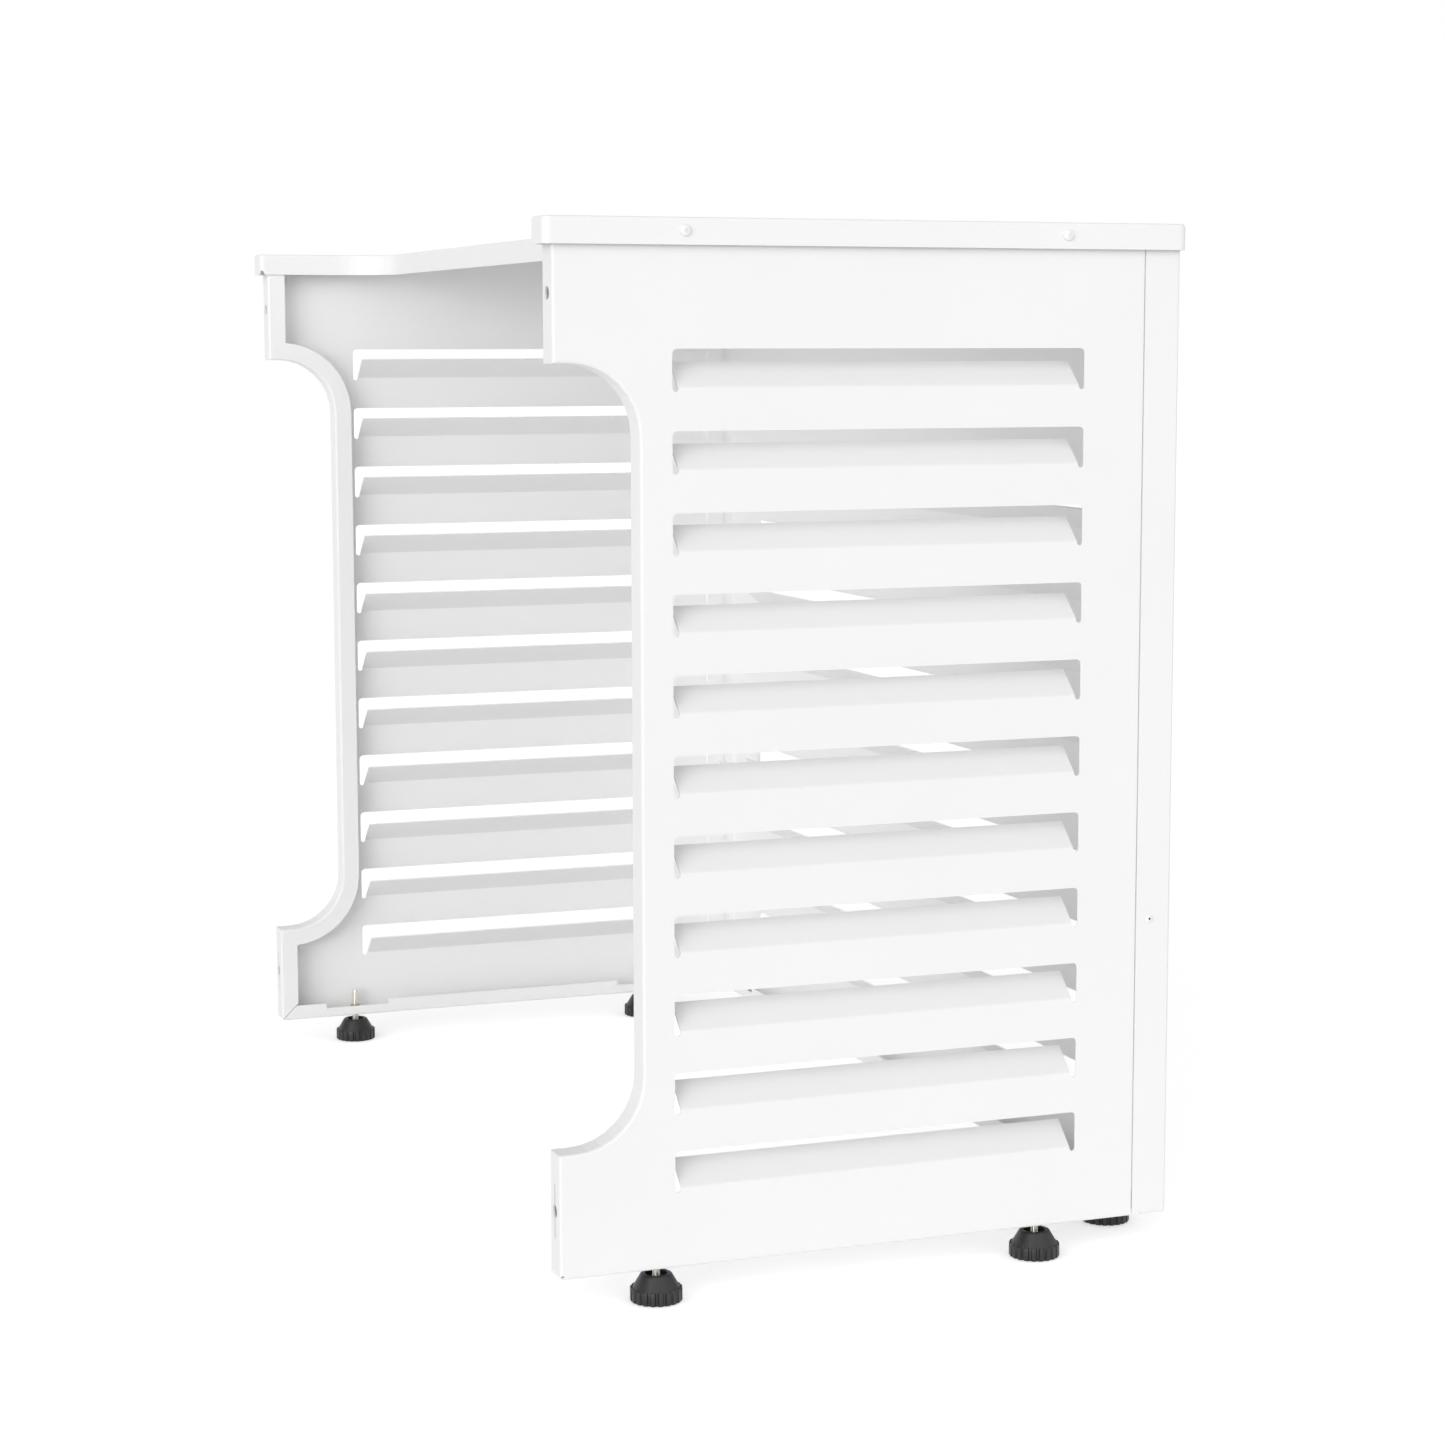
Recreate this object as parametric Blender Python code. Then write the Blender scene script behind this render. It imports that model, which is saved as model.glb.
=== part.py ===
import math

import bmesh
import bpy
from mathutils import Vector

# Overall sizes of the folded sheet screen, in metres
SCREEN_WIDTH = 0.970
SCREEN_DEPTH = 0.510
PANEL_HEIGHT = 0.783
SHEET = 0.0015
BEND = 0.002
CLEARANCE = 0.0003
CORNER_CUT = 0.0018
LIP_CUT = 0.0005

# Edge flanges and their turned-back lips
FLANGE = 0.0235
WALL_LIP = 0.017
BASE_LIP = 0.0146
LIP_NOTCH_DEPTH = 0.005
LIP_NOTCH_HALF = 0.033

# C-shaped cut-out on the wall edge of each side panel
CUTOUT_BOTTOM = 0.0956
CUTOUT_FROM_TOP = 0.1035
CUTOUT_STRAIGHT = 0.013
CUTOUT_RADIUS = 0.0535

# Corner seam between side and front panels
SEAM_FROM_FRONT = 0.0314
JOGGLE_RUN = 0.0009
TONGUE_LENGTH = 0.0171
TONGUE_MARGIN = 0.020
RETURN_DEPTH = 0.0301

# Louvres
LOUVRE_COUNT = 11
LOUVRE_FROM_TOP = 0.093
LOUVRE_LAST_TOP = 0.090
LOUVRE_HEIGHT = 0.0316
LOUVRE_CORNER = 0.0035
LOUVRE_NOTCH = 0.005
LOUVRE_ANGLE = math.radians(47)
LOUVRE_BLADE = 0.0264
SIDE_LOUVRE_START = 0.0915
SIDE_LOUVRE_FROM_FRONT = 0.0819
FRONT_LOUVRE_MARGIN = 0.079
FRONT_PLAIN_COUNT = 2

# Top cover
COVER_OVERHANG = 0.0055
COVER_SHIFT = 0.0025
COVER_SKIRT = 0.020
COVER_CORNER = 0.006
COVER_EAR_CORNER = 0.005
COVER_EAR_RISE = 0.0045
COVER_BEND = 0.0025
COVER_EAR = 0.0313
RECESS_DEPTH = 0.130
RECESS_RADIUS = 0.048

# Lid screws and their nuts
SCREW_FROM_END = 0.100
SCREW_FROM_TOP = 0.008
SCREW_HEAD_RADIUS = 0.00425
SCREW_HEAD_HEIGHT = 0.0026
SCREW_HEAD_EDGE = 0.0008
SCREW_CROWN_RADIUS = 0.0030
SCREW_SHANK_RADIUS = 0.002
SCREW_LENGTH = 0.0135
NUT_RADIUS = 0.004
NUT_LENGTH = 0.005
NUT_CHAMFER = 0.0006

# Corner rivets
RIVET_LEVEL = 0.241
RIVET_FROM_SEAM = 0.0117
RIVET_HEAD_RADIUS = 0.0032
RIVET_HEAD_HEIGHT = 0.0010
RIVET_SHANK_RADIUS = 0.0016
RIVET_BULB_RADIUS = 0.0024
RIVET_BULB_LENGTH = 0.0032
RIVET_PIT_RADIUS = 0.0010
RIVET_PIT_DEPTH = 0.0012

# Wall fixing holes
WALL_HOLE_LOW = 0.0505
WALL_HOLE_FROM_TOP = 0.053
WALL_HOLE_RADIUS = 0.005
WALL_SLIT_HALF = 0.021
WALL_SLIT_RADIUS = 0.0015

# Levelling feet
FOOT_INSET = 0.012
FOOT_FROM_END = 0.080
FOOT_FROM_FRONT = 0.111
FOOT_GAP = 0.027
FOOT_RADIUS = 0.020
FOOT_FLUTE = 0.0008
FOOT_FLUTES = 16
FOOT_EDGE = 0.0012
FOOT_RIM = 0.0108
FOOT_NECK_RADIUS = 0.01175
FOOT_HEIGHT = 0.0215
FOOT_CUP_RADIUS = 0.0053
FOOT_CUP_FLOOR = 0.009
FOOT_SOCKET_FLOOR = 0.003
STUD_RADIUS = 0.003
STUD_TIP_RADIUS = 0.0022
STUD_CHAMFER = 0.0010
STUD_ABOVE_PANEL = 0.025
INSERT_RADIUS = 0.0045
INSERT_COLLAR_RADIUS = 0.0060
INSERT_COLLAR = 0.0008
INSERT_BULGE_RADIUS = 0.0056
INSERT_BULGE_LENGTH = 0.0032
INSERT_HEIGHT = 0.0090

# Facets
BEND_STEPS = 2
CUTOUT_STEPS = 8
NOTCH_STEPS = 4
CORNER_STEPS = 2
COVER_CORNER_STEPS = 4
RECESS_STEPS = 8
ROUND_SEGMENTS = 16
SMALL_SEGMENTS = 12
HOLE_SEGMENTS = 24
SMOOTH_ANGLE = math.radians(40)
WELD = 0.00001
CUTTER_REACH = 0.006

# Placement of the assembly, derived from the sizes above
HALF_WIDTH = SCREEN_WIDTH / 2
FRONT_OVERHANG = COVER_OVERHANG - COVER_SHIFT
WALL_OVERHANG = COVER_OVERHANG + COVER_SHIFT
FRONT_REACH = max(FOOT_RADIUS - FOOT_INSET, FRONT_OVERHANG + CLEARANCE + SCREW_HEAD_HEIGHT)
WALL_Y = (SCREEN_DEPTH + FRONT_REACH - WALL_OVERHANG) / 2
FRONT_Y = WALL_Y - SCREEN_DEPTH
BASE_Z = FOOT_GAP
COVER_TOP = BASE_Z + PANEL_HEIGHT + CLEARANCE + SHEET
CUTOUT_TOP = PANEL_HEIGHT - CUTOUT_FROM_TOP
SEAM_FROM_WALL = SCREEN_DEPTH - SEAM_FROM_FRONT
SIDE_LOUVRE_END = SCREEN_DEPTH - SIDE_LOUVRE_FROM_FRONT
FRONT_LOUVRE_HALF = HALF_WIDTH - FRONT_LOUVRE_MARGIN
SCREW_LEVEL = PANEL_HEIGHT - SCREW_FROM_TOP
SIDES = {"left": -1, "right": 1}
X_AXIS = Vector((1, 0, 0))
Y_AXIS = Vector((0, 1, 0))
Z_AXIS = Vector((0, 0, 1))

# Surface colours as linear shares, with roughness and metalness
PAINT_WHITE = (0.86, 0.86, 0.86, 1)
PLATED_STEEL = (0.48, 0.46, 0.42, 1)
FOOT_BLACK = (0.024, 0.022, 0.023, 1)
PAINT_ROUGH_SHARE = 0.45
STEEL_ROUGH_SHARE = 0.35
PLASTIC_ROUGH_SHARE = 0.55


def arc(centre, radius, start, end, steps):
    # Points on a flat arc, both ends included
    points = []
    for index in range(steps + 1):
        angle = start + (end - start) * index / steps
        points.append(Vector((math.cos(angle), math.sin(angle))) * radius + centre)
    return points


def fold(radius, turn, steps):
    # Inset and depth of a bend that starts flat on the sheet
    points = []
    for index in range(steps + 1):
        angle = turn * index / steps
        points.append((radius - radius * math.sin(angle), radius - radius * math.cos(angle)))
    return points


def left_of(step):
    # Unit vector to the left of a step
    side = Vector((-step.y, step.x))
    side.normalize()
    return side


def shares(points, closed, turned_start, turned_end):
    # Inward shift of each outline point for one unit of inset
    result = []
    last = len(points) - 1
    for index, point in enumerate(points):
        after = points[(index + 1) % len(points)] - point
        before = point - points[index - 1]
        if not closed and index == 0:
            ahead = left_of(after)
            shift = ahead + after.normalized() if turned_start else ahead
        elif not closed and index == last:
            behind = left_of(before)
            shift = behind - before.normalized() if turned_end else behind
        else:
            one = left_of(before)
            two = left_of(after)
            shift = (one + two) / (1 + one.dot(two))
        result.append(shift)
    return result


def inset(points, shift, distance):
    # Outline moved inward by a distance, without folding back beside short edges
    moved = [point + move * distance for point, move in zip(points, shift)]
    for index in range(1, len(points) - 2):
        before = points[index + 1] - points[index]
        after = moved[index + 1] - moved[index]
        if before.dot(after) < 0:
            place = index + 1 if index < len(points) / 2 else index
            moved[place] = moved[index if place > index else index + 1].copy()
    return moved


def add_strip(mesh, rows, closed):
    # Quads between neighbouring rows of vertices
    verts = [[mesh.verts.new(point) for point in row] for row in rows]
    count = len(verts[0])
    stop = count if closed else count - 1
    for lower, upper in zip(verts[:-1], verts[1:]):
        for index in range(stop):
            other = (index + 1) % count
            mesh.faces.new((lower[index], lower[other], upper[other], upper[index]))
    return verts


def add_flat(mesh, loops):
    # Triangles filling the space between an outline and its holes
    edges = []
    for loop in loops:
        verts = [mesh.verts.new(point) for point in loop]
        for index, vert in enumerate(verts):
            edges.append(mesh.edges.new((vert, verts[(index + 1) % len(verts)])))
    bmesh.ops.triangle_fill(mesh, use_beauty=True, use_dissolve=False, edges=edges)


def fold_edge(mesh, place, points, shift, profile):
    # Folded strip along an outline, as rows of inset and depth
    lipped = profile[-1][0] > 0
    rows = []
    for distance, depth in profile:
        ends = closer_ends(points, depth) if lipped else points
        row = inset(ends, shift, distance)
        rows.append([place(point.x, point.y, depth) for point in row])
    add_strip(mesh, rows, False)


def closer_ends(points, depth):
    # Outline whose ends close up towards the corner where the lip starts
    share = max(0, (depth - FLANGE + BEND) / BEND) ** 2
    if share == 0:
        return points
    reach = (CORNER_CUT - LIP_CUT) * share
    first = points[0] + (points[0] - points[1]).normalized() * reach
    last = points[-1] + (points[-1] - points[-2]).normalized() * reach
    return [first] + points[1:-1] + [last]


def flange_profile(bend):
    # Bend and straight flange, up to the start of the second bend
    profile = fold(bend, math.pi / 2, BEND_STEPS)
    profile.append((0, FLANGE - bend))
    return profile


def lip_profile(lip):
    # Flange profile with its turned-back lip
    profile = flange_profile(BEND)
    for distance, depth in fold(BEND, math.pi / 2, BEND_STEPS)[::-1][1:]:
        profile.append((distance, FLANGE - depth))
    profile.append((lip, FLANGE))
    return profile


def louvre_outline(start, end, top):
    # Window of one louvre with relief notches beside the blade
    bend_level = louvre_bend(top)
    notch = LOUVRE_NOTCH / 2
    points = []
    points += arc(Vector((start + LOUVRE_CORNER, top - LOUVRE_CORNER)), LOUVRE_CORNER,
                  math.pi, math.pi / 2, CORNER_STEPS)
    points += arc(Vector((end - LOUVRE_CORNER, top - LOUVRE_CORNER)), LOUVRE_CORNER,
                  math.pi / 2, 0, CORNER_STEPS)
    points += arc(Vector((end - notch, bend_level)), notch, 0, -math.pi, NOTCH_STEPS)
    points += arc(Vector((start + notch, bend_level)), notch, 0, -math.pi, NOTCH_STEPS)
    return points


def louvre_bend(top):
    # Height at which a blade starts to bend
    return top - LOUVRE_HEIGHT + LOUVRE_NOTCH / 2


def add_blade(mesh, place, start, end, top):
    # Slanted blade, bent inward from the lower side of its window
    level = louvre_bend(top)
    left = start + LOUVRE_NOTCH
    right = end - LOUVRE_NOTCH
    rows = []
    for index in range(BEND_STEPS + 1):
        angle = LOUVRE_ANGLE * index / BEND_STEPS
        rise = BEND * math.sin(angle)
        depth = BEND - BEND * math.cos(angle)
        rows.append([place(left, level + rise, depth), place(right, level + rise, depth)])
    rise += LOUVRE_BLADE * math.cos(LOUVRE_ANGLE)
    depth += LOUVRE_BLADE * math.sin(LOUVRE_ANGLE)
    rows.append([place(left, level + rise, depth), place(right, level + rise, depth)])
    add_strip(mesh, rows, False)


def louvre_tops():
    # Top level of every louvre window, spread evenly over the panel height
    first = PANEL_HEIGHT - LOUVRE_FROM_TOP
    pitch = (first - LOUVRE_LAST_TOP) / (LOUVRE_COUNT - 1)
    return [first - pitch * index for index in range(LOUVRE_COUNT)]


def lip_top(start, end, feet):
    # Upper edge of a bottom lip, stepped down over each foot
    points = [Vector((end, BASE_LIP))]
    for foot in sorted(feet, reverse=True):
        points.append(Vector((foot + LIP_NOTCH_HALF, BASE_LIP)))
        points.append(Vector((foot + LIP_NOTCH_HALF, BASE_LIP - LIP_NOTCH_DEPTH)))
        points.append(Vector((foot - LIP_NOTCH_HALF, BASE_LIP - LIP_NOTCH_DEPTH)))
        points.append(Vector((foot - LIP_NOTCH_HALF, BASE_LIP)))
    points.append(Vector((start, BASE_LIP)))
    return points


def add_base_fold(mesh, place, points, shift, feet):
    # Bottom flange with a lip that is notched over the feet
    profile = lip_profile(BASE_LIP)[:-1]
    fold_edge(mesh, place, points, shift, profile)
    closer = closer_ends(points, FLANGE)
    lower = inset(closer, shift, BEND)
    upper = inset(closer, shift, BASE_LIP)
    outline = lower + lip_top(upper[0].x, upper[-1].x, feet)
    verts = [mesh.verts.new(place(point.x, point.y, FLANGE)) for point in outline]
    mesh.faces.new(verts)


def finish_sheet(name, mesh, outward, material):
    # Sheet metal object, thickened inward from its outer surface
    bmesh.ops.remove_doubles(mesh, verts=mesh.verts, dist=WELD)
    bmesh.ops.recalc_face_normals(mesh, faces=mesh.faces)
    largest = max(mesh.faces, key=lambda face: face.calc_area() * abs(face.normal.dot(outward)))
    if largest.normal.dot(outward) < 0:
        bmesh.ops.reverse_faces(mesh, faces=mesh.faces)
    data = bpy.data.meshes.new(name)
    mesh.to_mesh(data)
    mesh.free()
    body = bpy.data.objects.new(name, data)
    bpy.context.scene.collection.objects.link(body)
    data.materials.append(material)
    thick = body.modifiers.new("thickness", "SOLIDIFY")
    thick.thickness = SHEET
    thick.offset = -1
    thick.use_even_offset = True
    thick.use_quality_normals = True
    return body


def turned_mesh(name, rings, segments, material, flute=0):
    # Closed turned mesh about its own vertical axis
    mesh = bmesh.new()
    add_turned(mesh, rings, segments, Vector((0, 0, 0)), Z_AXIS.to_track_quat("Z", "Y"), flute)
    bmesh.ops.recalc_face_normals(mesh, faces=mesh.faces)
    data = bpy.data.meshes.new(name)
    mesh.to_mesh(data)
    mesh.free()
    data.shade_smooth()
    data.set_sharp_from_angle(angle=SMOOTH_ANGLE)
    data.materials.append(material)
    return data


def add_copies(data, places):
    # One object for each named place and direction, all with one mesh
    for name, (origin, direction) in places.items():
        body = bpy.data.objects.new(name, data)
        body.location = origin
        body.rotation_mode = "QUATERNION"
        body.rotation_quaternion = direction.to_track_quat("Z", "Y")
        bpy.context.scene.collection.objects.link(body)


def numbered(name, places):
    # Names for a row of equal pieces
    return {f"{name}_{index}": place for index, place in enumerate(places, start=1)}


def add_turned(mesh, rings, segments, origin, turn, flute):
    # One closed body turned from rings of radius, height and flute share
    rows = []
    for radius, height, flute_share in rings:
        row = []
        if radius == 0:
            row.append(mesh.verts.new(turn @ Vector((0, 0, height)) + origin))
        else:
            for index in range(segments):
                angle = math.tau * index / segments
                reach = radius - flute * flute_share * (index % 2)
                point = Vector((reach * math.cos(angle), reach * math.sin(angle), height))
                row.append(mesh.verts.new(turn @ point + origin))
        rows.append(row)
    pairs = list(zip(rows[:-1], rows[1:]))
    if len(rows[0]) > 1:
        pairs.append((rows[-1], rows[0]))
    for lower, upper in pairs:
        join_rows(mesh, lower, upper, segments)


def join_rows(mesh, lower, upper, segments):
    # Faces between two rings, either of which may be a single point
    for index in range(segments):
        other = (index + 1) % segments
        if len(lower) == 1:
            mesh.faces.new((lower[0], upper[other], upper[index]))
        elif len(upper) == 1:
            mesh.faces.new((lower[index], lower[other], upper[0]))
        else:
            mesh.faces.new((lower[index], lower[other], upper[other], upper[index]))


def paint(name, colour, rough_share, metal_share):
    # Plain surface with its own colour and gloss
    material = bpy.data.materials.new(name)
    material.use_nodes = True
    shader = material.node_tree.nodes["Principled BSDF"]
    shader.inputs["Base Color"].default_value = colour
    shader.inputs["Roughness"].default_value = rough_share
    shader.inputs["Metallic"].default_value = metal_share
    material.diffuse_color = colour
    return material


def side_place(sign):
    # From distance behind the wall plane, height and depth to the assembly
    def place(back, height, depth):
        return Vector((sign * (HALF_WIDTH - depth), WALL_Y - back, BASE_Z + height))
    return place


def front_place(across, height, depth):
    # From position across, height and depth to the assembly
    return Vector((across, FRONT_Y + depth, BASE_Z + height))


def cover_place(across, back, depth):
    # From plan position and depth below the top to the assembly
    return Vector((across, back, COVER_TOP - depth))


def wall_edge():
    # Wall edge of a side panel from the top down, around the cut-out
    upper = Vector((CUTOUT_STRAIGHT, CUTOUT_TOP - CUTOUT_RADIUS))
    lower = Vector((CUTOUT_STRAIGHT, CUTOUT_BOTTOM + CUTOUT_RADIUS))
    points = [Vector((0, PANEL_HEIGHT - CORNER_CUT)), Vector((0, CUTOUT_TOP))]
    points += arc(upper, CUTOUT_RADIUS, math.pi / 2, 0, CUTOUT_STEPS)
    points += arc(lower, CUTOUT_RADIUS, 0, -math.pi / 2, CUTOUT_STEPS)
    points += [Vector((0, CUTOUT_BOTTOM)), Vector((0, CORNER_CUT))]
    return points


def add_tongue(mesh, place):
    # Seam edge stepped inward to lie behind the return of the front panel
    low = TONGUE_MARGIN
    high = PANEL_HEIGHT - TONGUE_MARGIN
    step = SHEET + CLEARANCE
    stepped = SEAM_FROM_WALL + JOGGLE_RUN
    rows = [[place(SEAM_FROM_WALL, low, 0), place(SEAM_FROM_WALL, high, 0)]]
    rows.append([place(stepped, low, step), place(stepped, high, step)])
    end = stepped + TONGUE_LENGTH
    rows.append([place(end, low, step), place(end, high, step)])
    add_strip(mesh, rows, False)


def side_panel(side, material):
    # Louvred side panel with its cut-out, flanges, lips and seam tongue
    mesh = bmesh.new()
    place = side_place(SIDES[side])
    wall = wall_edge()
    base = [Vector((CORNER_CUT, 0)), Vector((SEAM_FROM_WALL, 0))]
    top = [Vector((SEAM_FROM_WALL, PANEL_HEIGHT)), Vector((CORNER_CUT, PANEL_HEIGHT))]
    wall_shift = shares(wall, False, True, True)
    base_shift = shares(base, False, True, False)
    top_shift = shares(top, False, False, True)
    outline = inset(base, base_shift, BEND)
    outline.append(Vector((SEAM_FROM_WALL, TONGUE_MARGIN)))
    outline.append(Vector((SEAM_FROM_WALL, PANEL_HEIGHT - TONGUE_MARGIN)))
    outline += inset(top, top_shift, BEND) + inset(wall, wall_shift, BEND)
    loops = [outline]
    for level in louvre_tops():
        loops.append(louvre_outline(SIDE_LOUVRE_START, SIDE_LOUVRE_END, level))
        add_blade(mesh, place, SIDE_LOUVRE_START, SIDE_LOUVRE_END, level)
    add_flat(mesh, [[place(point.x, point.y, 0) for point in loop] for loop in loops])
    fold_edge(mesh, place, wall, wall_shift, lip_profile(WALL_LIP))
    fold_edge(mesh, place, top, top_shift, flange_profile(BEND) + [(0, FLANGE)])
    feet = [FOOT_FROM_END, SCREEN_DEPTH - FOOT_FROM_FRONT]
    add_base_fold(mesh, place, base, base_shift, feet)
    add_tongue(mesh, place)
    outward = X_AXIS * SIDES[side]
    body = finish_sheet("side_panel_" + side, mesh, outward, material)
    cut_holes(body, wall_holes(SIDES[side]) + [rivet_hole(SIDES[side])]
              + foot_holes(side_feet(SIDES[side])) + side_screw_holes(SIDES[side]))
    cut_slit(body, SIDES[side])
    return body


def front_panel(material):
    # Louvred front panel with a return at each end and flanges above and below
    mesh = bmesh.new()
    edge = HALF_WIDTH - CORNER_CUT
    base = [Vector((-edge, 0)), Vector((edge, 0))]
    right = [Vector((HALF_WIDTH, CORNER_CUT)), Vector((HALF_WIDTH, PANEL_HEIGHT - CORNER_CUT))]
    top = [Vector((edge, PANEL_HEIGHT)), Vector((-edge, PANEL_HEIGHT))]
    left = [Vector((-HALF_WIDTH, PANEL_HEIGHT - CORNER_CUT)), Vector((-HALF_WIDTH, CORNER_CUT))]
    sides = [base, right, top, left]
    moves = [shares(side, False, True, True) for side in sides]
    outline = []
    for side, move in zip(sides, moves):
        outline += inset(side, move, BEND)
    loops = [outline]
    for level in louvre_tops()[FRONT_PLAIN_COUNT:]:
        loops.append(louvre_outline(-FRONT_LOUVRE_HALF, FRONT_LOUVRE_HALF, level))
        add_blade(mesh, front_place, -FRONT_LOUVRE_HALF, FRONT_LOUVRE_HALF, level)
    add_flat(mesh, [[front_place(point.x, point.y, 0) for point in loop] for loop in loops])
    return_profile = fold(BEND, math.pi / 2, BEND_STEPS) + [(0, RETURN_DEPTH)]
    fold_edge(mesh, front_place, right, moves[1], return_profile)
    fold_edge(mesh, front_place, left, moves[3], return_profile)
    fold_edge(mesh, front_place, top, moves[2], flange_profile(BEND) + [(0, FLANGE)])
    reach = HALF_WIDTH - FOOT_FROM_END
    add_base_fold(mesh, front_place, base, moves[0], [-reach, reach])
    body = finish_sheet("front_panel", mesh, -Y_AXIS, material)
    holes = foot_holes(front_feet()) + front_screw_holes()
    for sign in SIDES.values():
        holes.append(rivet_hole(sign))
    cut_holes(body, holes)
    return body


def cover_outline():
    # Plan outline of the cover, with its cut-out on the wall side
    half = HALF_WIDTH + COVER_OVERHANG
    near = FRONT_Y - FRONT_OVERHANG
    wall = WALL_Y + WALL_OVERHANG
    edge = half - COVER_EAR
    floor = wall - RECESS_DEPTH
    corner = COVER_CORNER
    inner = COVER_EAR_CORNER
    quarter = math.pi / 2
    steps = COVER_CORNER_STEPS
    points = arc(Vector((-half + corner, near + corner)), corner, -math.pi, -quarter, steps)
    points += arc(Vector((half - corner, near + corner)), corner, -quarter, 0, steps)
    points += arc(Vector((half - corner, wall - corner)), corner, 0, quarter, steps)
    points += arc(Vector((edge + inner, wall - inner)), inner, quarter, math.pi, steps)
    points += arc(Vector((edge - RECESS_RADIUS, floor + RECESS_RADIUS)), RECESS_RADIUS,
                  0, -quarter, RECESS_STEPS)
    points += arc(Vector((-edge + RECESS_RADIUS, floor + RECESS_RADIUS)), RECESS_RADIUS,
                  -quarter, -math.pi, RECESS_STEPS)
    points += arc(Vector((-edge - inner, wall - inner)), inner, 0, quarter, steps)
    points += arc(Vector((-half + corner, wall - corner)), corner, quarter, math.pi, steps)
    return points


def skirt_depth(point):
    # Depth of the skirt at a plan point, less where an ear turns into the cut-out
    across = abs(point.x) - HALF_WIDTH - COVER_OVERHANG + COVER_EAR
    along = WALL_Y + WALL_OVERHANG - point.y
    if across < 0:
        return COVER_SKIRT
    share = max(0, 1 - across / COVER_EAR_CORNER) * max(0, 1 - along / COVER_EAR_CORNER)
    return COVER_SKIRT - COVER_EAR_RISE * min(1, share * 2)


def top_cover(material):
    # Tray-shaped cover with a skirt all round
    mesh = bmesh.new()
    points = cover_outline()
    move = shares(points, True, False, False)
    flat = inset(points, move, COVER_BEND)
    add_flat(mesh, [[cover_place(point.x, point.y, 0) for point in flat]])
    rows = []
    for distance, depth in fold(COVER_BEND, math.pi / 2, BEND_STEPS):
        row = inset(points, move, distance)
        rows.append([cover_place(point.x, point.y, depth) for point in row])
    rows.append([cover_place(point.x, point.y, skirt_depth(point)) for point in points])
    add_strip(mesh, rows, True)
    body = finish_sheet("top_cover", mesh, Z_AXIS, material)
    cut_holes(body, cover_screw_holes())
    return body


def cut_holes(body, holes):
    # Round holes through a sheet, given as place, axis and radius
    mesh = bmesh.new()
    for origin, direction, radius in holes:
        rings = [(0, -CUTTER_REACH, 0), (radius, -CUTTER_REACH, 0),
                 (radius, CUTTER_REACH, 0), (0, CUTTER_REACH, 0)]
        turn = direction.to_track_quat("Z", "Y")
        add_turned(mesh, rings, hole_segments(radius), origin, turn, 0)
    add_cut(body, mesh, "holes")


def cut_slit(body, sign):
    # Narrow slit that runs above and below the lower wall hole
    middle = Vector((sign * (HALF_WIDTH - FLANGE / 2), BASE_Z + WALL_HOLE_LOW))
    rise = Vector((0, WALL_SLIT_HALF - WALL_SLIT_RADIUS))
    points = arc(middle + rise, WALL_SLIT_RADIUS, 0, math.pi, NOTCH_STEPS)
    points += arc(middle - rise, WALL_SLIT_RADIUS, math.pi, math.tau, NOTCH_STEPS)
    mesh = bmesh.new()
    rows = []
    for reach in (-CUTTER_REACH, CUTTER_REACH):
        rows.append([Vector((point.x, WALL_Y + reach, point.y)) for point in points])
    for row in add_strip(mesh, rows, True):
        mesh.faces.new(row)
    add_cut(body, mesh, "slit")


def add_cut(body, mesh, kind):
    # Hidden cutter and the modifier that takes it out of the sheet
    bmesh.ops.recalc_face_normals(mesh, faces=mesh.faces)
    name = f"{body.name}_{kind}"
    data = bpy.data.meshes.new(name)
    mesh.to_mesh(data)
    mesh.free()
    cutter = bpy.data.objects.new(name, data)
    bpy.context.scene.collection.objects.link(cutter)
    cutter.hide_render = True
    cutter.display_type = "WIRE"
    cut = body.modifiers.new(kind, "BOOLEAN")
    cut.operation = "DIFFERENCE"
    cut.solver = "EXACT"
    cut.object = cutter


def hole_segments(radius):
    # Facets of a hole, fewer for the small ones
    return HOLE_SEGMENTS if radius > INSERT_RADIUS else SMALL_SEGMENTS


def side_feet(sign):
    # Foot axes under one side panel, at the panel's underside
    across = sign * (HALF_WIDTH - FOOT_INSET)
    return [Vector((across, WALL_Y - FOOT_FROM_END, BASE_Z)),
            Vector((across, FRONT_Y + FOOT_FROM_FRONT, BASE_Z))]


def front_feet():
    # Foot axes under the front panel
    reach = HALF_WIDTH - FOOT_FROM_END
    return [Vector((-reach, FRONT_Y + FOOT_INSET, BASE_Z)),
            Vector((reach, FRONT_Y + FOOT_INSET, BASE_Z))]


def foot_holes(places):
    # Holes for the threaded inserts
    return [(place, Z_AXIS, INSERT_RADIUS + CLEARANCE) for place in places]


def wall_holes(sign):
    # Fixing holes in the wall flanges
    across = sign * (HALF_WIDTH - FLANGE / 2)
    levels = [WALL_HOLE_LOW, PANEL_HEIGHT - WALL_HOLE_FROM_TOP]
    return [(Vector((across, WALL_Y, BASE_Z + level)), Y_AXIS, WALL_HOLE_RADIUS)
            for level in levels]


def rivet_place(sign):
    # Corner rivet on the outer face of one return
    back = WALL_Y - SEAM_FROM_WALL - JOGGLE_RUN - RIVET_FROM_SEAM
    return Vector((sign * HALF_WIDTH, back, BASE_Z + RIVET_LEVEL)), X_AXIS * sign


def rivet_hole(sign):
    # Hole for a corner rivet
    place, direction = rivet_place(sign)
    return place, direction, RIVET_SHANK_RADIUS + CLEARANCE


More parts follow.
